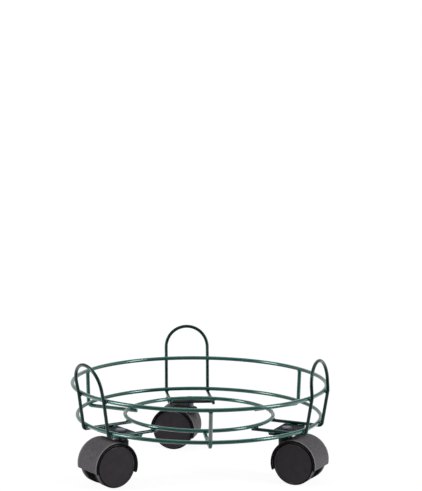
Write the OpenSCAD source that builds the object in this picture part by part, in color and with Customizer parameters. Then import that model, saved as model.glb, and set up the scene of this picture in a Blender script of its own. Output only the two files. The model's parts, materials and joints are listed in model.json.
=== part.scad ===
// Round wire plant caddy on three hooded twin-wheel casters.
// Millimetres. The Z axis is the axis of the rings and z = 0 is the floor.
// A piece that repeats is drawn at the front, towards -Y, and turned about Z.

/* [Rings] */
// Outside diameter of the upper ring
upper_ring_d = 304.8; // [290:0.1:340]
// Outside diameter of the lower ring
lower_ring_d = 292.8; // [284:0.1:300]
// Outside diameter of the inner ring of the base
inner_ring_d = 180; // [150:1:188]
// Height of the upper ring above the lower ring
ring_rise = 38; // [30:1:50]
// Diameter of the ring wire
ring_wire_d = 4.6; // [4:0.1:6]

/* [Arches] */
// Width of an arch between the centres of its two legs
arch_w = 52; // [44:1:60]
// Height of the arch's highest wire centre above the lower ring
arch_h = 77; // [70:1:100]
// Diameter of the arch wire
arch_wire_d = 4; // [3.5:0.1:5]
// Inward bend of the left arch above the upper ring, and outward where negative
left_bend = -4; // [-8:0.5:15]
// Inward bend of the right arch above the upper ring, and outward where negative
right_bend = 13.5; // [-8:0.5:15]
// Inward bend of the rear arch above the upper ring, and outward where negative
rear_bend = -4; // [-8:0.5:15]
// Radius of these bends at the centre of the wire
loop_bend_r = 12; // [8:1:16]
// Length that each foot runs on past the inner ring
foot_past = 5; // [4:0.5:8]

/* [Uprights] */
// Diameter of the upright wire
upright_wire_d = 4.6; // [4:0.1:5.2]
// Turn of the uprights round the rings, away from halfway between the arches
upright_shift = -1.1; // [-3:0.1:3]

/* [Caster plates] */
// Length of a caster plate across the feet of its arch
plate_w = 56; // [54:1:80]
// Depth of a caster plate towards the centre
plate_depth = 26; // [24:1:32]
// Thickness of a caster plate
plate_t = 2.4; // [2:0.1:3]
// Radius of the corners of a caster plate
plate_corner_r = 4; // [1:0.5:5]

/* [Casters] */
// Diameter of the circle that the swivel axes lie on
swivel_circle_d = 224; // [218:1:228]
// Distance from the swivel axis back to the axle
caster_trail = 17; // [15:0.5:19]
// Turn of the left caster away from straight outwards
left_turn = 358; // [0:1:359]
// Turn of the right caster away from straight outwards
right_turn = 358; // [0:1:359]
// Turn of the rear caster away from straight outwards
rear_turn = 72; // [0:1:359]

/* [Hoods] */
// Width of a hood along the axle
hood_w = 43.5; // [41:0.5:48]
// Wall of the hood over the wheels
hood_wall = 2.2; // [2:0.1:2.6]
// Gap between the hood's wall and the tread
hood_gap = 0.8; // [0.6:0.1:1.4]
// Radius of the rounded side edges of the hood
hood_edge_r = 1.2; // [0.4:0.1:1.2]
// Bevel inside each side opening of the hood
mouth_bevel = 0.8; // [0.4:0.1:0.8]
// Depth of the hood's lower edge below the axle
lip_drop = 6.5; // [5:0.5:9]
// Slope of the hood's lower edge in degrees, up towards the trailing lip
lip_tilt = 4.3; // [0:0.1:6]
// Thickness of the web between the two wheels
web_t = 13; // [10:0.5:14]
// Radius of the web round the axle
axle_boss_r = 7.5; // [6:0.5:9]
// Diameter of the neck that turns on the stem
neck_d = 19; // [16:0.5:20]
// Height of the neck's top above the axle
neck_rise = 25.5; // [25:0.5:28]
// Bevel round the top of the neck
neck_bevel = 0.8; // [0.4:0.1:1.2]

/* [Wheels] */
// Diameter of the wheels
wheel_d = 50; // [46:1:54]
// Depth of a wheel's outer face inside the hood's edge
wheel_inset = 1.5; // [0.6:0.1:2]
// Gap between a wheel and the web
wheel_side_gap = 0.8; // [0.5:0.1:1.2]
// Radius of the tread's outer edge
tread_r = 2; // [1:0.1:2.4]
// Radius of the tread's inner edge
tread_inner_r = 2; // [0.5:0.1:2.4]
// Width of the raised rim round a wheel's outer face
rim_w = 1.6; // [1:0.1:2.5]
// Depth of the outer face below its rim
face_dip = 0.4; // [0.2:0.1:0.8]
// Thickness of the outer face over the end of the axle
face_t = 3; // [2.4:0.1:3.6]
// Radius of the hub on the inner side
hub_r = 7; // [6:0.1:8]
// Thickness of the tread over the inner recess
tread_t = 3.6; // [3:0.1:5]
// Depth of the recess on the inner side
inner_recess = 3.5; // [2:0.1:3.6]
// Number of ribs in the inner recess
rib_count = 6; // [4:1:8]
// Thickness of a rib
rib_t = 1.6; // [1:0.1:2.4]

/* [Axles] */
// Diameter of an axle
axle_d = 6; // [5:0.1:7]
// Bevel at each end of an axle
axle_bevel = 0.5; // [0.3:0.1:0.8]
// Depth of the groove that a wheel's snap ridge drops into
snap_groove = 0.5; // [0.4:0.05:0.7]
// Width of the snap groove
snap_groove_w = 1.2; // [1:0.1:1.6]
// Distance of the snap groove from the end of the axle
snap_from_end = 4; // [3:0.1:5]

/* [Stems] */
// Diameter of a stem in its neck
stem_d = 7; // [6:0.1:7.4]
// Length of a stem below the top of its neck
stem_l = 22; // [19:0.5:23]
// Diameter of the collar under the caster plate
collar_d = 10; // [9:0.5:12]
// Height of the collar under the caster plate
collar_h = 7.5; // [6:0.5:10]
// Diameter of the peened head over the caster plate
head_d = 13; // [11:0.5:15]
// Height of the peened head
head_h = 2.6; // [2:0.1:3]
// Height of the retaining clip below the top of its neck
clip_drop = 14; // [12:0.5:15]
// Thickness of the retaining clip
clip_t = 1; // [0.8:0.1:1.2]
// Radial width of the retaining clip
clip_w = 1.1; // [1:0.1:1.1]
// Depth of the clip's groove in the stem
clip_groove = 0.5; // [0.4:0.1:0.7]
// Opening of the retaining clip in degrees
clip_open = 50; // [30:5:80]

/* [Clearances] */
// Gap left between pieces that are welded, pressed or peened together
seat_gap = 0.05; // [0.02:0.01:0.1]
// Radial clearance of a shaft that turns in its bore
run_gap = 0.05; // [0.02:0.01:0.1]
// End clearance of a piece that turns against another
end_gap = 0.2; // [0.1:0.05:0.4]

/* [Hidden] */
$fn = 96;

wire_green = [0.22, 0.44, 0.40];
caster_black = [0.20, 0.19, 0.20];
wheel_black = [0.15, 0.14, 0.16];
plate_dark = [0.12, 0.20, 0.18];
zinc = [0.66, 0.67, 0.68];

// Bearing of each arch, plate and caster round the Z axis, from the front.
left_at = -60;
right_at = 60;
rear_at = 180;
// Bearing of each upright, about halfway between the arches.
upright_front_at = upright_shift;
upright_right_at = 120 + upright_shift;
upright_left_at = -120 + upright_shift;

// Centre radii of the three rings.
upper_r = (upper_ring_d - ring_wire_d) / 2;
lower_r = (lower_ring_d - ring_wire_d) / 2;
inner_r = (inner_ring_d - ring_wire_d) / 2;

// Half the arch's width, and where the rings' wires cross that line.
arch_a = arch_w / 2;
upper_at_leg = sqrt(pow(upper_r, 2) - pow(arch_a, 2));
lower_at_leg = sqrt(pow(lower_r, 2) - pow(arch_a, 2));
inner_at_leg = sqrt(pow(inner_r, 2) - pow(arch_a, 2));
// A leg meets the ring at a slant, so its bend is a little wider than square on.
leg_slant = asin(arch_a / lower_r);
arch_bend_r = (ring_wire_d + arch_wire_d) / 2 / cos(leg_slant) + seat_gap;
arch_lean = atan((upper_at_leg - lower_at_leg) / ring_rise);
arch_leg_l = (arch_h + arch_bend_r * sin(arch_lean)) / cos(arch_lean) - arch_a;
// Length of a leg up to where it touches the upper ring and its bend starts.
arch_low_l = ring_rise / cos(arch_lean);

// An upright curls round the lower ring and ends square under the upper ring.
upright_bend_r = (ring_wire_d + upright_wire_d) / 2 + seat_gap;
ring_step = upper_r - lower_r;
ring_span = sqrt(pow(ring_step, 2) + pow(ring_rise, 2));
upright_lean = atan(ring_step / ring_rise) - asin(upright_bend_r / ring_span);
upright_l = sqrt(pow(ring_span, 2) - pow(upright_bend_r, 2)) - ring_wire_d / 2 - seat_gap;

// Heights, from the floor up through a caster to the rings.
wheel_r = wheel_d / 2;
cavity_r = wheel_r + hood_gap;
hood_r = cavity_r + hood_wall;
axle_z = wheel_r;
neck_top_z = axle_z + neck_rise;
plate_z = neck_top_z + end_gap + collar_h + seat_gap;
foot_z = plate_z + plate_t + seat_gap + arch_wire_d / 2;
lower_z = foot_z + arch_bend_r;
upper_z = lower_z + ring_rise;
swivel_r = swivel_circle_d / 2;

// Places along the axle, from the middle of the web outwards.
wheel_in = web_t / 2 + wheel_side_gap;
wheel_out = hood_w / 2 - wheel_inset;
axle_end = wheel_out - face_t - end_gap;
snap_x = axle_end - snap_from_end;
axle_r = axle_d / 2;
// The snap ridge of a wheel stands half as deep as the axle's groove.
snap_ridge_r = axle_r - snap_groove / 2;
snap_ridge_w = snap_groove_w - 2 * end_gap;
// Scallops in the web's lower edge, between the axle's boss and the lips.
scallop_at = (axle_boss_r + cavity_r) / 2;
scallop_margin = 1;
scallop_r = (cavity_r - axle_boss_r) / 2 - scallop_margin;

stem_r = stem_d / 2;
stem_tip_bevel = 0.8;
clip_z = neck_top_z - clip_drop;
clip_in_r = stem_r - clip_groove + seat_gap;
clip_out_r = clip_in_r + clip_w;

// A straight run of wire laps into the bend beside it, and is a hair thinner there.
wire_lap = 0.2;
lap_relief = 0.02;

// Longer than any piece that it cuts.
through = 2 * (hood_w + wheel_d);
// How far a cut starts outside the face that it opens.
cut_past = 1;
// How far a rib or a ridge runs into the wall that carries it.
root_lap = 0.5;

// Draws with X outwards from the Z axis and Y upwards.
module radial_plane() {
    rotate([90, 0, -90]) children();
}

module at_bearing(bearing) {
    rotate([0, 0, bearing]) children();
}

// Moves a caster's own frame, whose origin is on the swivel axis at the floor.
module at_caster(bearing, turn) {
    at_bearing(bearing) translate([0, -swivel_r, 0]) rotate([0, 0, turn]) children();
}

// Turns a shape drawn about Z to lie about the caster's axle.
module on_axle() {
    translate([0, -caster_trail, axle_z]) rotate([0, 90, 0]) children();
}

module wire_ring(centre_r, height) {
    color(wire_green)
        translate([0, 0, height]) rotate_extrude() translate([centre_r, 0]) circle(d = ring_wire_d);
}

// A foot under the rings, the curl round the lower ring, and a straight leg.
module wire_leg(wire_d, ring_at, inner_at, bend_r, lean, leg_l) {
    foot_from = inner_at - foot_past;
    run_d = wire_d - lap_relief;
    translate([foot_from, lower_z - bend_r, 0])
        rotate([0, 90, 0]) cylinder(h = ring_at - foot_from + wire_lap, d = run_d);
    translate([ring_at, lower_z, 0]) {
        rotate([0, 0, -90])
            rotate_extrude(angle = 90 - lean) translate([bend_r, 0]) circle(d = wire_d);
        rotate([0, 0, -lean]) translate([bend_r, -wire_lap, 0])
            rotate([-90, 0, 0]) cylinder(h = leg_l + wire_lap, d = run_d);
    }
}

// Arch wire bent inwards by an angle, or outwards where it is negative.
module wire_bend(bend) {
    if (bend > 0)
        translate([-loop_bend_r, 0, 0])
            rotate_extrude(angle = bend) translate([loop_bend_r, 0]) circle(d = arch_wire_d);
    if (bend < 0)
        translate([loop_bend_r, 0, 0]) rotate([0, 0, 180 + bend])
            rotate_extrude(angle = -bend) translate([loop_bend_r, 0]) circle(d = arch_wire_d);
}

// Moves from the start of such a bend to its end.
module past_bend(bend) {
    centre_x = bend < 0 ? loop_bend_r : -loop_bend_r;
    translate([centre_x, 0, 0]) rotate([0, 0, bend]) translate([-centre_x, 0, 0]) children();
}

// Two legs, each with its bend above the upper ring, and the half circle that joins them.
module arch(bend) {
    high_l = arch_leg_l - arch_low_l - loop_bend_r * abs(bend) * PI / 180;
    run_d = arch_wire_d - lap_relief;
    color(wire_green) radial_plane() {
        for (side = [-1, 1])
            translate([0, 0, side * arch_a])
                wire_leg(arch_wire_d, lower_at_leg, inner_at_leg,
                    arch_bend_r, arch_lean, arch_low_l + wire_lap);
        translate([lower_at_leg, lower_z, 0]) rotate([0, 0, -arch_lean])
            translate([arch_bend_r, arch_low_l, 0]) {
                for (side = [-1, 1])
                    translate([0, 0, side * arch_a]) {
                        wire_bend(bend);
                        past_bend(bend) translate([0, -wire_lap, 0]) rotate([-90, 0, 0])
                            cylinder(h = high_l + 2 * wire_lap, d = run_d);
                    }
                past_bend(bend) translate([0, high_l, 0]) rotate([0, 90, 0])
                    rotate_extrude(angle = 180) translate([arch_a, 0]) circle(d = arch_wire_d);
            }
    }
}

module upright() {
    color(wire_green) radial_plane()
        wire_leg(upright_wire_d, lower_r, inner_r, upright_bend_r, upright_lean, upright_l);
}

module rounded_rectangle(width, depth, corner_r) {
    square([width - 2 * corner_r, depth], center = true);
    square([width, depth - 2 * corner_r], center = true);
    for (x = [-1, 1], y = [-1, 1])
        translate([x * (width / 2 - corner_r), y * (depth / 2 - corner_r)]) circle(r = corner_r);
}

module caster_plate() {
    color(plate_dark) translate([0, -swivel_r, plate_z])
        linear_extrude(plate_t) difference() {
            rounded_rectangle(plate_w, plate_depth, plate_corner_r);
            circle(r = stem_r + seat_gap);
        }
}

// The stem turns with the frame: tip, clip groove, collar, tenon and peened head.
module stem() {
    tip_z = neck_top_z - stem_l;
    collar_z = plate_z - seat_gap - collar_h;
    head_z = plate_z + plate_t + seat_gap;
    head_bevel = head_h / 2;
    groove_low = clip_z - seat_gap;
    groove_high = clip_z + clip_t + seat_gap;
    groove_r = stem_r - clip_groove;
    color(zinc) rotate_extrude() polygon([
        [0, tip_z],
        [stem_r - stem_tip_bevel, tip_z],
        [stem_r, tip_z + stem_tip_bevel],
        [stem_r, groove_low],
        [groove_r, groove_low],
        [groove_r, groove_high],
        [stem_r, groove_high],
        [stem_r, collar_z],
        [collar_d / 2, collar_z],
        [collar_d / 2, plate_z - seat_gap],
        [stem_r, plate_z - seat_gap],
        [stem_r, head_z],
        [head_d / 2, head_z],
        [head_d / 2, head_z + head_h - head_bevel],
        [head_d / 2 - head_bevel, head_z + head_h],
        [0, head_z + head_h]
    ]);
}

module stem_clip() {
    color(zinc) translate([0, 0, clip_z]) rotate([0, 0, clip_open / 2])
        rotate_extrude(angle = 360 - clip_open)
            translate([clip_in_r, 0]) square([clip_w, clip_t]);
}

// Half section of the hood's drum, with rounded side edges.
module drum_profile() {
    flat_w = hood_w - 2 * hood_edge_r;
    translate([0, -flat_w / 2]) square([hood_r, flat_w]);
    translate([0, -hood_w / 2]) square([hood_r - hood_edge_r, hood_w]);
    for (side = [-1, 1])
        translate([hood_r - hood_edge_r, side * flat_w / 2]) circle(r = hood_edge_r);
}

module neck() {
    rotate_extrude() polygon([
        [0, axle_z],
        [neck_d / 2, axle_z],
        [neck_d / 2, neck_top_z - neck_bevel],
        [neck_d / 2 - neck_bevel, neck_top_z],
        [0, neck_top_z]
    ]);
}

// Moves to the hood's lower edge, which slopes under the axle.
module on_lower_edge() {
    translate([0, -caster_trail, axle_z]) rotate([-lip_tilt, 0, 0])
        translate([0, 0, -lip_drop]) children();
}

// The round bead that ends each lip of the hood.
module lip_bead(side) {
    bead_r = hood_wall / 2;
    lip_r = hood_r - bead_r;
    lip_y = sqrt(pow(lip_r, 2) - pow(lip_drop, 2));
    on_lower_edge() translate([0, side * lip_y, 0])
        rotate([0, 90, 0]) cylinder(r = bead_r, h = hood_w - 2 * hood_edge_r, center = true);
}

// The pocket for one wheel, drawn about Z, with its bevelled mouth.
module wheel_pocket() {
    mouth_z = hood_w / 2;
    rotate_extrude() polygon([
        [0, web_t / 2],
        [cavity_r, web_t / 2],
        [cavity_r, mouth_z - mouth_bevel],
        [cavity_r + mouth_bevel + cut_past, mouth_z + cut_past],
        [0, mouth_z + cut_past]
    ]);
}

// Everything that a hood has inside: two wheel pockets, scallops and bores.
module hood_hollows() {
    on_axle() {
        wheel_pocket();
        rotate([180, 0, 0]) wheel_pocket();
    }
    on_lower_edge() {
        translate([-through / 2, -through / 2, -through]) cube([through, through, through]);
        for (side = [-1, 1])
            translate([0, side * scallop_at, 0]) rotate([0, 90, 0])
                cylinder(r = scallop_r, h = web_t + 2 * cut_past, center = true);
    }
    on_axle() cylinder(r = axle_r + seat_gap, h = through, center = true);
    translate([0, 0, neck_top_z - stem_l - end_gap])
        cylinder(r = stem_r + run_gap, h = stem_l + end_gap + cut_past);
    translate([0, 0, clip_z - end_gap])
        cylinder(r = clip_out_r + end_gap / 2, h = clip_t + 2 * end_gap);
}

module hood() {
    color(caster_black) {
        difference() {
            union() {
                on_axle() rotate_extrude() drum_profile();
                neck();
            }
            hood_hollows();
        }
        for (side = [-1, 1]) lip_bead(side);
    }
}

module axle() {
    groove_r = axle_r - snap_groove;
    color(zinc) on_axle() difference() {
        union() {
            cylinder(r = axle_r, h = 2 * (axle_end - axle_bevel), center = true);
            cylinder(r = axle_r - axle_bevel, h = 2 * axle_end, center = true);
        }
        for (side = [-1, 1])
            translate([0, 0, side * snap_x]) difference() {
                cylinder(r = axle_r + cut_past, h = snap_groove_w, center = true);
                cylinder(r = groove_r, h = snap_groove_w + 2 * cut_past, center = true);
            }
    }
}

// Half section of a wheel, from its inner face outwards along the axle.
module wheel_profile() {
    dish_r = wheel_r - tread_r - rim_w;
    difference() {
        union() {
            translate([0, wheel_in]) square([wheel_r - tread_r, wheel_out - wheel_in]);
            translate([0, wheel_in + tread_inner_r])
                square([wheel_r, wheel_out - wheel_in - tread_r - tread_inner_r]);
            translate([wheel_r - tread_r, wheel_out - tread_r]) circle(r = tread_r);
            translate([wheel_r - tread_inner_r, wheel_in + tread_inner_r]) circle(r = tread_inner_r);
        }
        translate([0, wheel_out - face_dip]) square([dish_r, face_dip + cut_past]);
        translate([hub_r, wheel_in - cut_past])
            square([wheel_r - tread_t - hub_r, inner_recess + cut_past]);
        translate([0, wheel_in - cut_past])
            square([axle_r + run_gap, axle_end + end_gap - wheel_in + cut_past]);
    }
    translate([snap_ridge_r, snap_x - snap_ridge_w / 2])
        square([axle_r + run_gap - snap_ridge_r + root_lap, snap_ridge_w]);
}

// The ribs of the inner recess, from the hub to the tread.
module wheel_ribs() {
    rib_l = wheel_r - tread_t - hub_r + 2 * root_lap;
    for (i = [0 : rib_count - 1])
        rotate([0, 0, i * 360 / rib_count])
            translate([hub_r - root_lap, -rib_t / 2, wheel_in])
                cube([rib_l, rib_t, inner_recess + root_lap]);
}

// side is 1 for the wheel on the caster's +X side and -1 for its twin.
module wheel(side) {
    color(wheel_black) on_axle() rotate([side < 0 ? 180 : 0, 0, 0]) {
        rotate_extrude() wheel_profile();
        wheel_ribs();
    }
}

wire_ring(lower_r, lower_z);  // lower_ring
wire_ring(upper_r, upper_z);  // upper_ring
wire_ring(inner_r, lower_z);  // inner_ring
at_bearing(left_at) arch(left_bend);  // arch_left
at_bearing(right_at) arch(right_bend);  // arch_right
at_bearing(rear_at) arch(rear_bend);  // arch_rear
at_bearing(upright_front_at) upright();  // upright_front
at_bearing(upright_right_at) upright();  // upright_right
at_bearing(upright_left_at) upright();  // upright_left
at_bearing(left_at) caster_plate();  // plate_left
at_bearing(right_at) caster_plate();  // plate_right
at_bearing(rear_at) caster_plate();  // plate_rear
at_caster(left_at, 0) stem();  // stem_left
at_caster(right_at, 0) stem();  // stem_right
at_caster(rear_at, 0) stem();  // stem_rear
at_caster(left_at, 0) stem_clip();  // stem_clip_left
at_caster(right_at, 0) stem_clip();  // stem_clip_right
at_caster(rear_at, 0) stem_clip();  // stem_clip_rear
at_caster(left_at, left_turn) hood();  // hood_left
at_caster(right_at, right_turn) hood();  // hood_right
at_caster(rear_at, rear_turn) hood();  // hood_rear
at_caster(left_at, left_turn) axle();  // axle_left
at_caster(right_at, right_turn) axle();  // axle_right
at_caster(rear_at, rear_turn) axle();  // axle_rear
at_caster(left_at, left_turn) wheel(1);  // wheel_left_a
at_caster(left_at, left_turn) wheel(-1);  // wheel_left_b
at_caster(right_at, right_turn) wheel(1);  // wheel_right_a
at_caster(right_at, right_turn) wheel(-1);  // wheel_right_b
at_caster(rear_at, rear_turn) wheel(1);  // wheel_rear_a
at_caster(rear_at, rear_turn) wheel(-1);  // wheel_rear_b
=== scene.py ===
# Looks of a round wire plant caddy on three hooded twin-wheel casters.
# Metres. Z is the axis of the rings, and z = 0 is the floor.
import json
import math

import bpy
import numpy as np
from mathutils import Matrix, Quaternion, Vector


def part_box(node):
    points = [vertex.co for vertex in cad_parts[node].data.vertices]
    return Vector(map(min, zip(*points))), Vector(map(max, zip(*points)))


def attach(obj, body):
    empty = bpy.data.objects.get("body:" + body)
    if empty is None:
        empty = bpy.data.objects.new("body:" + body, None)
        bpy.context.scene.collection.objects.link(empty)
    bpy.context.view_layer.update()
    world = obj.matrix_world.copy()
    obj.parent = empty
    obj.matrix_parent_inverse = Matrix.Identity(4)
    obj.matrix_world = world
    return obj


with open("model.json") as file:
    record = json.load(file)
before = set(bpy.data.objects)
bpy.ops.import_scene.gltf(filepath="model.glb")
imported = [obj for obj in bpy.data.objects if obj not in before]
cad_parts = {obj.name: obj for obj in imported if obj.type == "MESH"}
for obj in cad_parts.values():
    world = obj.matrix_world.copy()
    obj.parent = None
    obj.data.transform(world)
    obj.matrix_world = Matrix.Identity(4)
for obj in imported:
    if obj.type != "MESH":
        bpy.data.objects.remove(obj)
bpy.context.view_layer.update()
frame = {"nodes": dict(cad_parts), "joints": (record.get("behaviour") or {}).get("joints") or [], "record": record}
nodes = frame["nodes"]
joints = {joint["name"]: joint for joint in frame["joints"]}

mm = 0.001
scene = bpy.context.scene


# Small helpers for shader trees.
def newMaterial(name):
    material = bpy.data.materials.new(name)
    material.use_nodes = True
    tree = material.node_tree
    shader = tree.nodes["Principled BSDF"]
    return material, tree, shader


def addNode(tree, kind, **settings):
    node = tree.nodes.new(kind)
    for key, value in settings.items():
        setattr(node, key, value)
    return node


def setInputs(node, values):
    for key, value in values.items():
        node.inputs[key].default_value = value


def rgba(colour):
    return (*colour, 1.0)


# Makes a shader node group; inputs are (kind, name, default) and outputs are (kind, name).
def newGroup(name, inputs, outputs):
    tree = bpy.data.node_groups.new(name, "ShaderNodeTree")
    for kind, label, default in inputs:
        socket = tree.interface.new_socket(label, in_out="INPUT", socket_type=kind)
        socket.default_value = default
    for kind, label in outputs:
        tree.interface.new_socket(label, in_out="OUTPUT", socket_type=kind)
    return tree, tree.nodes.new("NodeGroupInput"), tree.nodes.new("NodeGroupOutput")


# A smooth ramp from toLow to toHigh as its input goes from low to high.
def addRamp(tree, source, low, high, toLow=0.0, toHigh=1.0):
    ramp = addNode(tree, "ShaderNodeMapRange", interpolation_type="SMOOTHSTEP")
    setInputs(ramp, {"From Min": low, "From Max": high, "To Min": toLow, "To Max": toHigh})
    tree.links.new(source, ramp.inputs["Value"])
    return ramp.outputs["Result"]


# A number is set on its socket, and a socket is linked.
def addMath(tree, operation, first, second):
    node = addNode(tree, "ShaderNodeMath", operation=operation)
    for socket, value in zip(node.inputs, (first, second)):
        if isinstance(value, float):
            socket.default_value = value
        else:
            tree.links.new(value, socket)
    return node.outputs[0]


def addAbsolute(tree, source):
    node = addNode(tree, "ShaderNodeMath", operation="ABSOLUTE")
    tree.links.new(source, node.inputs[0])
    return node.outputs[0]


# The X, Y and Z sockets of a vector socket.
def addSplit(tree, source):
    node = addNode(tree, "ShaderNodeSeparateXYZ")
    tree.links.new(source, node.inputs[0])
    return node.outputs


def addLength(tree, source):
    node = addNode(tree, "ShaderNodeVectorMath", operation="LENGTH")
    tree.links.new(source, node.inputs[0])
    return node.outputs["Value"]


# Each part of a vector socket times its factor.
def addProduct(tree, source, factors):
    node = addNode(tree, "ShaderNodeVectorMath", operation="MULTIPLY")
    node.inputs[1].default_value = factors
    tree.links.new(source, node.inputs[0])
    return node.outputs["Vector"]


# Mixes a colour socket with a fixed colour by a mask.
def mixColour(tree, mask, base, colour):
    mix = addNode(tree, "ShaderNodeMix", data_type="RGBA")
    tree.links.new(mask, mix.inputs["Factor"])
    tree.links.new(base, mix.inputs["A"])
    mix.inputs["B"].default_value = rgba(colour)
    return mix.outputs["Result"]


# The first shader where the mask is 0, and the second where it is 1.
def mixShaders(tree, mask, first, second):
    mix = addNode(tree, "ShaderNodeMixShader")
    tree.links.new(mask, mix.inputs["Fac"])
    tree.links.new(first, mix.inputs[1])
    tree.links.new(second, mix.inputs[2])
    return mix.outputs[0]


scene.view_settings.view_transform = "Standard"

# Camera: the photograph's viewpoint, in the frame of the part.
cameraSettings = {
    "distance": 2.267,  # level distance from the axis of the rings
    "height": 0.582,
    "bearing": 6.1,  # degrees round from straight in front, towards the left
    "pitch": 7.86,  # degrees down
    "pan": 0.30,  # degrees to the right of the axis
    "roll": 0.65,  # degrees that the picture is turned clockwise
    "lens": 143.05,  # focal length in millimetres
    "sensor": 36.0,  # its width in millimetres
    "clip": (0.05, 200.0),  # nearest and furthest distance
}


def makeCamera(s):
    pitch = math.radians(s["pitch"])
    pan = math.radians(s["pan"])
    turn = Matrix.Rotation(-math.radians(s["bearing"]), 3, "Z")
    level = math.cos(pitch)
    ahead = Vector((math.sin(pan) * level, math.cos(pan) * level, -math.sin(pitch)))
    data = bpy.data.cameras.new("camera")
    data.lens = s["lens"]
    data.sensor_width = s["sensor"]
    data.clip_start, data.clip_end = s["clip"]
    camera = bpy.data.objects.new("camera", data)
    scene.collection.objects.link(camera)
    camera.location = turn @ Vector((0.0, -s["distance"], s["height"]))
    camera.rotation_mode = "QUATERNION"
    look = (turn @ ahead).to_track_quat("-Z", "Y")
    camera.rotation_quaternion = look @ Quaternion((0.0, 0.0, 1.0), math.radians(s["roll"]))
    return camera


scene.camera = makeCamera(cameraSettings)
print("camera placed")

# Studio: a white floor that keeps a soft shadow, a pale surround and soft lamps.
studioSettings = {
    "floorSize": 120.0,
    "floorColour": (0.12, 0.12, 0.12),
    "glowNear": 0.92,  # light that the camera sees in the floor beside the caddy
    "glowFar": 1.0,
    "glowReach": (0.45, 1.3),  # distance over which one passes into the other
    "shineNear": 1.05,  # the same for reflections, darker towards the horizon in front
    "shineFar": 0.08,
    "shineReach": (0.25, 0.60),
    "worldDiffuse": 0.22,
    "worldLow": 0.03,  # reflected surround: dark in front, white above and behind
    "worldHigh": 1.30,
    "worldReach": (0.35, 0.85),  # sine of the height above the horizon
    "backShine": 1.0,
    "backReach": (-0.30, 0.20),  # part of the direction that points to the back
    "sideShine": 2.2,
    "sideReach": (0.80, 0.97),  # part of the direction that points to either side
    "aim": (0.0, 0.0, 0.07),  # point that the lamps face
    "lamps": [
        # name, place, size, power in watts
        ("lampTop", (0.0, 0.2, 2.2), (1.8, 1.4), 7.0),
        ("lampLeft", (-2.15, -0.38, 0.85), (0.6, 1.6), 44.0),
        ("lampRight", (1.90, -1.05, 0.85), (0.6, 1.6), 46.0),
        ("lampBack", (0.3, 2.2, 1.5), (1.6, 0.9), 8.0),
    ],
}


# Brightness that glossy surfaces see in the walls: white behind, brighter at either side
# and dark in front.
def addWalls(tree, direction, s):
    parts = addSplit(tree, direction)
    behind = addRamp(tree, parts["Y"], *s["backReach"], 0.0, s["backShine"])
    sides = addRamp(tree, addAbsolute(tree, parts["X"]), *s["sideReach"], 0.0, s["sideShine"])
    return addMath(tree, "MAXIMUM", behind, sides)


# Takes shadows as a dull surface, glows white for the camera and shows the walls to glossy surfaces.
def floorMaterial(s):
    material = bpy.data.materials.new("whiteFloor")
    material.use_nodes = True
    tree = material.node_tree
    tree.nodes.clear()
    coords = addNode(tree, "ShaderNodeTexCoord")
    away = addLength(tree, coords.outputs["Object"])
    path = addNode(tree, "ShaderNodeLightPath")
    seen = addRamp(tree, away, *s["glowReach"], s["glowNear"], s["glowFar"])
    around = addNode(tree, "ShaderNodeVectorMath", operation="NORMALIZE")
    tree.links.new(coords.outputs["Object"], around.inputs[0])
    front = addRamp(tree, away, *s["shineReach"], s["shineNear"], s["shineFar"])
    mirrored = addMath(tree, "MAXIMUM", front, addWalls(tree, around.outputs["Vector"], s))
    toCamera = addMath(tree, "MULTIPLY", seen, path.outputs["Is Camera Ray"])
    toShine = addMath(tree, "MULTIPLY", mirrored, path.outputs["Is Glossy Ray"])
    glow = addNode(tree, "ShaderNodeEmission")
    tree.links.new(addMath(tree, "ADD", toCamera, toShine), glow.inputs["Strength"])
    white = addNode(tree, "ShaderNodeBsdfDiffuse")
    white.inputs["Color"].default_value = rgba(s["floorColour"])
    both = addNode(tree, "ShaderNodeAddShader")
    tree.links.new(white.outputs[0], both.inputs[0])
    tree.links.new(glow.outputs[0], both.inputs[1])
    # From below the floor is clear.
    below = addNode(tree, "ShaderNodeNewGeometry").outputs["Backfacing"]
    clear = addNode(tree, "ShaderNodeBsdfTransparent")
    output = addNode(tree, "ShaderNodeOutputMaterial")
    surface = mixShaders(tree, below, both.outputs[0], clear.outputs[0])
    tree.links.new(surface, output.inputs["Surface"])
    return material


def makeFloor(s):
    half = s["floorSize"] / 2
    mesh = bpy.data.meshes.new("floor")
    corners = [(-half, -half, 0.0), (half, -half, 0.0), (half, half, 0.0), (-half, half, 0.0)]
    mesh.from_pydata(corners, [], [(0, 1, 2, 3)])
    mesh.materials.append(floorMaterial(s))
    floor = bpy.data.objects.new("floor", mesh)
    scene.collection.objects.link(floor)


# White for the camera, the walls for glossy surfaces and a plain level for the rest.
def makeWorld(s):
    world = bpy.data.worlds.new("studio")
    scene.world = world
    world.use_nodes = True
    tree = world.node_tree
    tree.nodes.clear()
    coords = addNode(tree, "ShaderNodeTexCoord")
    height = addSplit(tree, coords.outputs["Generated"])["Z"]
    plain = addNode(tree, "ShaderNodeBackground")
    plain.inputs["Strength"].default_value = s["worldDiffuse"]
    shine = addNode(tree, "ShaderNodeBackground")
    above = addRamp(tree, height, *s["worldReach"], s["worldLow"], s["worldHigh"])
    level = addMath(tree, "MAXIMUM", above, addWalls(tree, coords.outputs["Generated"], s))
    tree.links.new(level, shine.inputs["Strength"])
    white = addNode(tree, "ShaderNodeBackground")
    white.inputs["Color"].default_value = rgba((1.0, 1.0, 1.0))
    path = addNode(tree, "ShaderNodeLightPath")
    unseen = mixShaders(tree, path.outputs["Is Glossy Ray"], plain.outputs[0], shine.outputs[0])
    surface = mixShaders(tree, path.outputs["Is Camera Ray"], unseen, white.outputs[0])
    output = addNode(tree, "ShaderNodeOutputWorld")
    tree.links.new(surface, output.inputs["Surface"])


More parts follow.
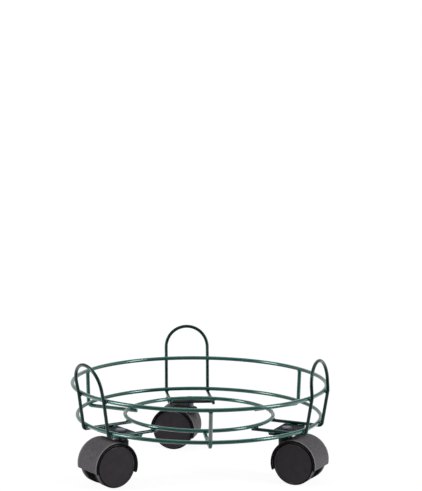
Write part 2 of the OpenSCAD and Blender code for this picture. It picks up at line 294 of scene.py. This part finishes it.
def makeLamps(s):
    aim = Vector(s["aim"])
    for name, place, size, power in s["lamps"]:
        data = bpy.data.lights.new(name, "AREA")
        data.shape = "RECTANGLE"
        data.size, data.size_y = size
        data.energy = power
        lamp = bpy.data.objects.new(name, data)
        scene.collection.objects.link(lamp)
        lamp.location = place
        lamp.rotation_mode = "QUATERNION"
        lamp.rotation_quaternion = (aim - Vector(place)).to_track_quat("-Z", "Y")


makeFloor(studioSettings)
makeWorld(studioSettings)
makeLamps(studioSettings)
print("studio lit")


# Two noises in Object coordinates: a coarse mottle for colour and roughness, and a fine height.
grainSettings = {
    "mottleDetail": 3.0,
    "mottleRough": 0.55,
    "grainDetail": 2.0,
    "grainRough": 0.6,
    "spread": (0.3, 0.7),  # the mottle's usual range, drawn out to go from 0 to 1
}


def makeGrainGroup(s):
    tree, inside, outside = newGroup(
        "surfaceGrain",
        [
            ("NodeSocketColor", "Dark", (0.1, 0.1, 0.1, 1.0)),
            ("NodeSocketColor", "Light", (0.2, 0.2, 0.2, 1.0)),
            ("NodeSocketFloat", "Mottle Scale", 60.0),
            ("NodeSocketFloat", "Grain Scale", 1500.0),
            ("NodeSocketFloat", "Rough Low", 0.4),
            ("NodeSocketFloat", "Rough High", 0.6),
        ],
        [("NodeSocketColor", "Color"), ("NodeSocketFloat", "Roughness"), ("NodeSocketFloat", "Height")],
    )
    coords = addNode(tree, "ShaderNodeTexCoord")
    mottle = addNode(tree, "ShaderNodeTexNoise")
    setInputs(mottle, {"Detail": s["mottleDetail"], "Roughness": s["mottleRough"]})
    grain = addNode(tree, "ShaderNodeTexNoise")
    setInputs(grain, {"Detail": s["grainDetail"], "Roughness": s["grainRough"]})
    for noise in (mottle, grain):
        tree.links.new(coords.outputs["Object"], noise.inputs["Vector"])
    tree.links.new(inside.outputs["Mottle Scale"], mottle.inputs["Scale"])
    tree.links.new(inside.outputs["Grain Scale"], grain.inputs["Scale"])
    spread = addNode(tree, "ShaderNodeMapRange")
    rough = addNode(tree, "ShaderNodeMapRange")
    for ramp in (spread, rough):
        setInputs(ramp, {"From Min": s["spread"][0], "From Max": s["spread"][1]})
        tree.links.new(mottle.outputs["Fac"], ramp.inputs["Value"])
    blend = addNode(tree, "ShaderNodeMix", data_type="RGBA")
    tree.links.new(spread.outputs["Result"], blend.inputs["Factor"])
    tree.links.new(inside.outputs["Dark"], blend.inputs["A"])
    tree.links.new(inside.outputs["Light"], blend.inputs["B"])
    tree.links.new(inside.outputs["Rough Low"], rough.inputs["To Min"])
    tree.links.new(inside.outputs["Rough High"], rough.inputs["To Max"])
    tree.links.new(blend.outputs["Result"], outside.inputs["Color"])
    tree.links.new(rough.outputs["Result"], outside.inputs["Roughness"])
    tree.links.new(grain.outputs["Fac"], outside.inputs["Height"])
    return tree


# A caster's own frame: distance along the axle from its middle, distance from the axle,
# and how squarely the surface faces along the axle.
def makeAxleGroup():
    tree, inside, outside = newGroup(
        "axleFrame",
        [("NodeSocketVector", "Centre", (0.0, 0.0, 0.0)), ("NodeSocketFloat", "Bearing", 0.0)],
        [("NodeSocketFloat", "Along"), ("NodeSocketFloat", "Radius"), ("NodeSocketFloat", "Facing")],
    )
    coords = addNode(tree, "ShaderNodeTexCoord")
    shift = addNode(tree, "ShaderNodeVectorMath", operation="SUBTRACT")
    tree.links.new(coords.outputs["Object"], shift.inputs[0])
    tree.links.new(inside.outputs["Centre"], shift.inputs[1])
    turned = []
    for source in (shift.outputs["Vector"], coords.outputs["Normal"]):
        turn = addNode(tree, "ShaderNodeVectorRotate", rotation_type="Z_AXIS", invert=True)
        tree.links.new(source, turn.inputs["Vector"])
        tree.links.new(inside.outputs["Bearing"], turn.inputs["Angle"])
        turned.append(turn.outputs["Vector"])
    place, normal = turned
    along = addAbsolute(tree, addSplit(tree, place)["X"])
    radius = addLength(tree, addProduct(tree, place, (0.0, 1.0, 1.0)))
    facing = addAbsolute(tree, addSplit(tree, normal)["X"])
    tree.links.new(along, outside.inputs["Along"])
    tree.links.new(radius, outside.inputs["Radius"])
    tree.links.new(facing, outside.inputs["Facing"])
    return tree


grainGroup = makeGrainGroup(grainSettings)
axleGroup = makeAxleGroup()


# Makes a material with mottle, roughness and bump; returned with its tree, shader and colour.
def grainMaterial(name, s):
    material, tree, shader = newMaterial(name)
    grain = addNode(tree, "ShaderNodeGroup", node_tree=grainGroup)
    setInputs(grain, {
        "Dark": rgba(s["dark"]), "Light": rgba(s["light"]),
        "Mottle Scale": s["mottleScale"], "Grain Scale": s["grainScale"],
        "Rough Low": s["roughLow"], "Rough High": s["roughHigh"],
    })
    bump = addNode(tree, "ShaderNodeBump")
    setInputs(bump, {"Strength": s["bumpStrength"], "Distance": s["bumpHeight"]})
    tree.links.new(grain.outputs["Color"], shader.inputs["Base Color"])
    tree.links.new(grain.outputs["Roughness"], shader.inputs["Roughness"])
    tree.links.new(grain.outputs["Height"], bump.inputs["Height"])
    tree.links.new(bump.outputs["Normal"], shader.inputs["Normal"])
    setInputs(shader, {
        "Metallic": s.get("metallic", 0.0), "Specular IOR Level": s.get("specular", 0.5),
        "Specular Tint": rgba(s.get("tint", (1.0, 1.0, 1.0))),
    })
    return material, tree, shader, grain.outputs["Color"]


# The axle's own frame of one caster, placed by the joint of one of its wheels.
def addAxleFrame(tree, side):
    joint = joints["spin_" + side + "_a"]
    axis = joint["axis"]
    local = addNode(tree, "ShaderNodeGroup", node_tree=axleGroup)
    setInputs(local, {"Centre": tuple(joint["pos_m"]), "Bearing": math.atan2(axis[1], axis[0])})
    return local


# A mask that is 1 round the swivel's axis and 0 further out, for surfaces above the axle.
def addSwivelMask(tree, side, reach, heights):
    coords = addNode(tree, "ShaderNodeTexCoord")
    shift = addNode(tree, "ShaderNodeVectorMath", operation="SUBTRACT")
    shift.inputs[1].default_value = joints["swivel_" + side]["pos_m"]
    tree.links.new(coords.outputs["Object"], shift.inputs[0])
    distance = addLength(tree, addProduct(tree, shift.outputs["Vector"], (1.0, 1.0, 0.0)))
    close = addRamp(tree, distance, *reach, 1.0, 0.0)
    above = addRamp(tree, addSplit(tree, shift.outputs["Vector"])["Z"], *heights)
    return addMath(tree, "MULTIPLY", close, above)


# Smooth green coat on the rings and uprights; the same coat darkened on the arches, a painted shade;
# near-black plates, a painted shade; and zinc, darkened with painted shade, on the stems, clips and axles.
plainFinishes = {
    "green_wire": {
        "dark": (0.004, 0.048, 0.038), "light": (0.007, 0.070, 0.056),
        "mottleScale": 70.0, "grainScale": 480.0, "roughLow": 0.09, "roughHigh": 0.16,
        "bumpStrength": 0.12, "bumpHeight": 0.06 * mm, "specular": 0.66,
        "tint": (0.64, 1.0, 0.92),
    },
    # painted shade: the green coat darkened for the arches
    "arch_wire": {
        "dark": (0.001, 0.010, 0.009), "light": (0.002, 0.019, 0.016),
        "mottleScale": 70.0, "grainScale": 480.0, "roughLow": 0.13, "roughHigh": 0.22,
        "bumpStrength": 0.12, "bumpHeight": 0.06 * mm, "specular": 0.30,
        "tint": (0.60, 1.0, 0.94),
    },
    # painted shade: the plates darkened to near-black, as if in shadow
    "dark_plate": {
        "dark": (0.004, 0.008, 0.009), "light": (0.007, 0.013, 0.014),
        "mottleScale": 60.0, "grainScale": 420.0, "roughLow": 0.70, "roughHigh": 0.80,
        "bumpStrength": 0.35, "bumpHeight": 0.12 * mm, "specular": 0.12,
    },
    # painted shade: the zinc darkened to a dark navy, as if in shadow
    "zinc_steel": {
        "dark": (0.050, 0.056, 0.073), "light": (0.085, 0.093, 0.116),
        "mottleScale": 260.0, "grainScale": 2200.0, "roughLow": 0.38, "roughHigh": 0.52,
        "bumpStrength": 0.25, "bumpHeight": 0.04 * mm, "metallic": 1.0,
    },
}
materials = {slot: grainMaterial(slot, s)[0] for slot, s in plainFinishes.items()}

# Front upright: the same wire, with a painted grey reflection on its outer face between the rings and painted
# shade on its foot.
uprightSheenFinish = {
    "facing": (0.0, 0.65),  # how squarely the surface looks to the front
    "foot": (69.0 * mm, 73.0 * mm),  # heights over which the painted reflection sets in
    "head": (100.5 * mm, 103.5 * mm),  # heights over which it ends
    # grey of the painted reflection
    "colour": (0.165, 0.182, 0.182),
    "footShadeHeights": (65.0 * mm, 61.5 * mm),  # heights over which the painted shade on the foot sets in
    # colour of the painted shade on the foot
    "footShadeColour": (0.002, 0.008, 0.007),
}


def sheenedUprightMaterial(s):
    material, tree, shader, colour = grainMaterial("front_sheen_wire", plainFinishes["green_wire"])
    coords = addNode(tree, "ShaderNodeTexCoord")
    height = addSplit(tree, coords.outputs["Object"])["Z"]
    forward = addMath(tree, "MULTIPLY", addSplit(tree, coords.outputs["Normal"])["Y"], -1.0)
    aboveFoot = addRamp(tree, height, *s["foot"])
    belowHead = addRamp(tree, height, *s["head"], 1.0, 0.0)
    between = addMath(tree, "MULTIPLY", aboveFoot, belowHead)
    # Painted reflection: the front face between the rings turns grey.
    frontSheenMask = addMath(tree, "MULTIPLY", between, addRamp(tree, forward, *s["facing"]))
    colour = mixColour(tree, frontSheenMask, colour, s["colour"])
    # Painted shade: the foot turns dark.
    colour = mixColour(tree, addRamp(tree, height, *s["footShadeHeights"]), colour, s["footShadeColour"])
    tree.links.new(colour, shader.inputs["Base Color"])
    return material


materials["front_sheen_wire"] = sheenedUprightMaterial(uprightSheenFinish)

# Moulded hood: fine matte grain, a painted highlight along its side edges, painted shade on its side faces and
# painted shade round the swivel.
hoodFinish = {
    "dark": (0.057, 0.053, 0.057), "light": (0.112, 0.106, 0.112),
    "mottleScale": 420.0, "grainScale": 1300.0, "roughLow": 0.50, "roughHigh": 0.62,
    "bumpStrength": 0.7, "bumpHeight": 0.12 * mm, "specular": 0.06,
    "halfWidth": 21.75 * mm,  # half its width along the axle
    "edgeHighlightReach": (4.4 * mm, 1.6 * mm),  # in from the side face, where the painted highlight starts and is full
    "edgeHighlightColour": (0.165, 0.157, 0.164),
    # painted shade on the side faces, round the recess that holds the wheel
    "sideShadeColour": (0.0015, 0.0015, 0.002),
    "sideFacing": (0.45, 0.60),  # how squarely a surface faces along the axle where black sets in
    "sideReach": (2.0 * mm, 1.2 * mm),  # in from the side face, the same for the black
    "neckShadeColour": (0.018, 0.017, 0.019),  # painted shade round the swivel, under the plate
    "neckReach": (13.0 * mm, 28.0 * mm),  # distances from the swivel's axis over which it fades
    "neckHeights": (-4.0 * mm, 3.0 * mm),  # heights over which it sets in, from the joint's place
}


def hoodMaterial(side, s):
    material, tree, shader, colour = grainMaterial("hood_plastic_" + side, s)
    local = addAxleFrame(tree, side)
    highlightStart, highlightEnd = (s["halfWidth"] - reach for reach in s["edgeHighlightReach"])
    sideStart, sideEnd = (s["halfWidth"] - reach for reach in s["sideReach"])
    edge = addRamp(tree, local.outputs["Along"], highlightStart, highlightEnd)
    square = addRamp(tree, local.outputs["Facing"], *s["sideFacing"])
    flank = addRamp(tree, local.outputs["Along"], sideStart, sideEnd)
    # Painted highlight along the side edges.
    colour = mixColour(tree, edge, colour, s["edgeHighlightColour"])
    # Painted shade on the side faces.
    colour = mixColour(tree, addMath(tree, "MULTIPLY", square, flank), colour, s["sideShadeColour"])
    # Painted shade round the swivel, under the plate.
    neckShadeMask = addSwivelMask(tree, side, s["neckReach"], s["neckHeights"])
    colour = mixColour(tree, neckShadeMask, colour, s["neckShadeColour"])
    tree.links.new(colour, shader.inputs["Base Color"])
    return material


# Wheel: a smooth dark disc with its rim paler in places (scuffs and painted highlight), painted shade on the
# shoulder round it, and a tread like the hood with a painted highlight along its outer edge.
wheelFinish = {
    "dark": (0.031, 0.026, 0.032), "light": (0.042, 0.035, 0.043),
    "mottleScale": 130.0, "grainScale": 1500.0, "roughLow": 0.42, "roughHigh": 0.54,
    "bumpStrength": 0.35, "bumpHeight": 0.06 * mm, "specular": 0.12,
    "shoulderRadii": (23.1 * mm, 23.5 * mm),  # radii over which the disc passes into the shoulder
    "treadRadii": (24.45 * mm, 24.6 * mm),  # the same from the shoulder to the tread
    "treadReach": (12.6 * mm, 14.6 * mm),  # along the axle, where the painted highlight on the tread's outer edge begins
    # painted shade in the gap between the hood and the wheel's shoulder
    "shoulderShadeColour": (0.0015, 0.0015, 0.002),
    # painted highlight where the tread's outer edge catches the side light
    "treadHighlightColour": (0.150, 0.145, 0.150),
    "outerRough": 0.92,  # on the shoulder and the tread
    "rimReach": (21.2 * mm, 21.9 * mm),  # the raised rim of the disc, paler in places: scuffs that also stand in for a painted highlight
    "rimScale": 55.0,
    "rimDetail": 3.0,
    "rimSpread": (0.54, 0.68),
    "rimScuffAndGlintColour": (0.075, 0.068, 0.077),
}


def wheelMaterial(side, s):
    material, tree, shader, colour = grainMaterial("wheel_plastic_" + side, s)
    local = addAxleFrame(tree, side)
    radius = local.outputs["Radius"]
    shoulder = addRamp(tree, radius, *s["shoulderRadii"])
    tread = addRamp(tree, radius, *s["treadRadii"])
    coords = addNode(tree, "ShaderNodeTexCoord")
    scuffNoise = addNode(tree, "ShaderNodeTexNoise")
    setInputs(scuffNoise, {"Scale": s["rimScale"], "Detail": s["rimDetail"]})
    tree.links.new(coords.outputs["Object"], scuffNoise.inputs["Vector"])
    scuff = addRamp(tree, scuffNoise.outputs["Fac"], *s["rimSpread"])
    rim = addMath(tree, "MULTIPLY", scuff, addRamp(tree, radius, *s["rimReach"]))
    # Scuffs on the rim, partly a painted highlight.
    colour = mixColour(tree, rim, colour, s["rimScuffAndGlintColour"])
    # Painted shade on the shoulder.
    colour = mixColour(tree, shoulder, colour, s["shoulderShadeColour"])
    # Painted highlight on the tread's outer edge.
    treadHighlightMask = addRamp(tree, local.outputs["Along"], *s["treadReach"])
    colour = mixColour(tree, addMath(tree, "MULTIPLY", tread, treadHighlightMask), colour, s["treadHighlightColour"])
    tree.links.new(colour, shader.inputs["Base Color"])
    rough = addNode(tree, "ShaderNodeMix")
    tree.links.new(shoulder, rough.inputs["Factor"])
    tree.links.new(shader.inputs["Roughness"].links[0].from_socket, rough.inputs["A"])
    rough.inputs["B"].default_value = s["outerRough"]
    tree.links.new(rough.outputs["Result"], shader.inputs["Roughness"])
    return material


for side in ("left", "right", "rear"):
    materials["hood_plastic_" + side] = hoodMaterial(side, hoodFinish)
    materials["wheel_plastic_" + side] = wheelMaterial(side, wheelFinish)

for part in frame["record"]["subparts"]:
    node = nodes[part["node"]]
    slot = part["material_slot"]
    words = part["node"].split("_")
    finish = slot
    if slot in ("hood_plastic", "wheel_plastic"):
        finish = slot + "_" + words[1]  # each caster has its own
    # The arches take the darkened copy of the green coat, a painted shade.
    elif words[0] == "arch":
        finish = "arch_wire"
    elif part["node"] == "upright_front":
        finish = "front_sheen_wire"
    node.data.materials.clear()
    node.data.materials.append(materials[finish])
print("finishes on", len(nodes), "nodes")

# Weld beads, coated like the wire, where the wires and plates of the frame touch.
weldSettings = {
    "ringWire": 2.3 * mm,  # radius
    "archWire": 2.0 * mm,  # radius
    "uprightBearings": (-1.1, 118.9, -121.1),  # degrees from straight in front, towards the right
    "plateReach": 8.0 * mm,  # from a caster's axis in and out to the beads on its plate
    # half axes of a bead: through the joint, sideways, and square to both
    "crossing": (1.35 * mm, 3.1 * mm, 3.0 * mm),
    "curl": (1.35 * mm, 3.3 * mm, 2.6 * mm),
    "foot": (1.2 * mm, 2.9 * mm, 2.9 * mm),
    "butt": (1.4 * mm, 2.9 * mm, 2.4 * mm),
    "buttIn": 0.5 * mm,  # its middle lies this far inside the ring's
    "plate": (0.9 * mm, 1.2 * mm, 4.2 * mm),
    "plateUp": 0.5 * mm,  # its middle lies this far above the plate
    "ringJoint": (2.5 * mm, 1.7 * mm, 2.5 * mm),
    "ringJointBearings": {"upper_ring": 152.0, "lower_ring": -150.0, "inner_ring": 95.0},
    "lump": 0.10,  # unevenness of a bead, as a part of its size
    "lumpsRound": 3.0,
    "lumpsAlong": 2.0,
    "lumpShift": 1.7,  # turn of the lumps from one bead to the next, in radians
    "rows": 10,
    "columns": 18,
}


# Rounds to a hundredth of a millimetre, because a curved mesh falls that much short of its size.
def nominal(length):
    return round(length, 5)


# Distance from the axis and height at which the wire of a ring runs.
def ringPlace(node, wire):
    low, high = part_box(node)
    return nominal(high[0] - wire), nominal((low[2] + high[2]) / 2)


# Bearing of a caster's axis in degrees, and its distance from the axis of the rings.
def casterPlace(side):
    x, y = joints["swivel_" + side]["pos_m"][:2]
    return round(math.degrees(math.atan2(x, -y)), 2), nominal(math.hypot(x, y))


# A closed unit sphere: one pole, rows of columns, the other pole, and outward faces.
def spherePatch(rows, columns):
    polar = np.linspace(0.0, np.pi, rows + 1)[1:-1]
    turns = np.arange(columns) * 2.0 * np.pi / columns
    polarGrid, roundGrid = np.meshgrid(polar, turns, indexing="ij")
    body = np.stack([
        np.sin(polarGrid) * np.cos(roundGrid),
        np.sin(polarGrid) * np.sin(roundGrid),
        np.cos(polarGrid),
    ], axis=-1).reshape(-1, 3)
    points = np.vstack([[[0.0, 0.0, 1.0]], body, [[0.0, 0.0, -1.0]]])
    here = 1 + np.arange((rows - 2) * columns).reshape(rows - 2, columns)
    beside = np.roll(here, -1, axis=1)
    quads = np.stack([here, here + columns, beside + columns, beside], axis=-1).reshape(-1, 4)
    first = 1 + np.arange(columns)
    last = first + (rows - 2) * columns
    nextFirst = np.roll(first, -1)
    nextLast = np.roll(last, -1)
    top = np.stack([np.zeros(columns, int), first, nextFirst], axis=-1)
    bottom = np.stack([np.full(columns, len(points) - 1), nextLast, last], axis=-1)
    return points, quads, np.vstack([top, bottom])


# A bead is the unit sphere times 1 + lump * sin(lumpsRound * turn + shift) * sin(lumpsAlong * polar),
# where turn and polar are its angles, stretched to the bead's half axes. Place and normal are
# (outwards, sideways, up) at a bearing.
def beadPoints(s, unit, number, bearing, place, normal, halfAxes):
    polar = np.arccos(np.clip(unit[:, 2], -1.0, 1.0))
    turn = np.arctan2(unit[:, 1], unit[:, 0])
    shift = s["lumpShift"] * number
    lumps = np.sin(s["lumpsRound"] * turn + shift) * np.sin(s["lumpsAlong"] * polar)
    shape = unit * (1.0 + s["lump"] * lumps)[:, None] * np.array(halfAxes)
    angle = math.radians(bearing)
    outwards = np.array([math.sin(angle), -math.cos(angle), 0.0])
    sideways = np.array([math.cos(angle), math.sin(angle), 0.0])
    basis = np.array([outwards, sideways, [0.0, 0.0, 1.0]])
    through = np.array(normal) @ basis
    along = np.cross(through, sideways)
    return np.array(place) @ basis + shape @ np.array([through, sideways, along])


# The bearing, place, normal and half axes of every bead.
def listWelds(s):
    ring = s["ringWire"]
    half = nominal(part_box("arch_rear")[1][0] - s["archWire"])  # from an arch's middle to a leg
    upperR, upperZ = ringPlace("upper_ring", ring)
    lowerR, lowerZ = ringPlace("lower_ring", ring)
    innerR, innerZ = ringPlace("inner_ring", ring)
    upperAt = math.sqrt(upperR ** 2 - half ** 2)
    lowerAt = math.sqrt(lowerR ** 2 - half ** 2)
    innerAt = math.sqrt(innerR ** 2 - half ** 2)
    lean = math.atan2(upperAt - lowerAt, upperZ - lowerZ)  # of an arch's legs between the rings
    leanOut = (math.cos(lean), 0.0, -math.sin(lean))
    slope = (math.sqrt(0.5), 0.0, -math.sqrt(0.5))  # outwards and down by half a right angle
    up = (0.0, 0.0, 1.0)
    down = (0.0, 0.0, -1.0)
    plateZ = nominal(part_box("plate_rear")[1][2]) + s["plateUp"]
    welds = []
    for caster in ("left", "right", "rear"):
        bearing, radius = casterPlace(caster)
        for side in (-half, half):
            crossing = (upperAt + ring * leanOut[0], side, upperZ + ring * leanOut[2])
            curl = (lowerAt + ring * slope[0], side, lowerZ + ring * slope[2])
            welds.append((bearing, crossing, leanOut, s["crossing"]))
            welds.append((bearing, curl, slope, s["curl"]))
            welds.append((bearing, (innerAt, side, innerZ - ring), down, s["foot"]))
            for reach in (-s["plateReach"], s["plateReach"]):
                for edge in (-s["archWire"], s["archWire"]):
                    welds.append((bearing, (radius + reach, side + edge, plateZ), up, s["plate"]))
    for bearing in s["uprightBearings"]:
        curl = (lowerR + ring * slope[0], 0.0, lowerZ + ring * slope[2])
        welds.append((bearing, (upperR - s["buttIn"], 0.0, upperZ - ring), down, s["butt"]))
        welds.append((bearing, curl, slope, s["curl"]))
        welds.append((bearing, (innerR, 0.0, innerZ - ring), down, s["foot"]))
    for node, bearing in s["ringJointBearings"].items():
        radius, height = ringPlace(node, ring)
        welds.append((bearing, (radius, 0.0, height), (1.0, 0.0, 0.0), s["ringJoint"]))
    return welds


def makeWelds(s):
    unit, quads, triangles = spherePatch(s["rows"], s["columns"])
    beads = [beadPoints(s, unit, number, *weld) for number, weld in enumerate(listWelds(s))]
    starts = np.arange(len(beads)) * len(unit)
    faces = []
    for corners in (quads, triangles):
        faces += (corners[None] + starts[:, None, None]).reshape(-1, corners.shape[1]).tolist()
    mesh = bpy.data.meshes.new("welds")
    mesh.from_pydata(np.vstack(beads).tolist(), [], faces)
    mesh.polygons.foreach_set("use_smooth", [True] * len(mesh.polygons))
    mesh.materials.append(materials["green_wire"])
    welds = bpy.data.objects.new("welds", mesh)
    scene.collection.objects.link(welds)
    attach(welds, "frame")
    return len(beads)


print("welds made:", makeWelds(weldSettings))
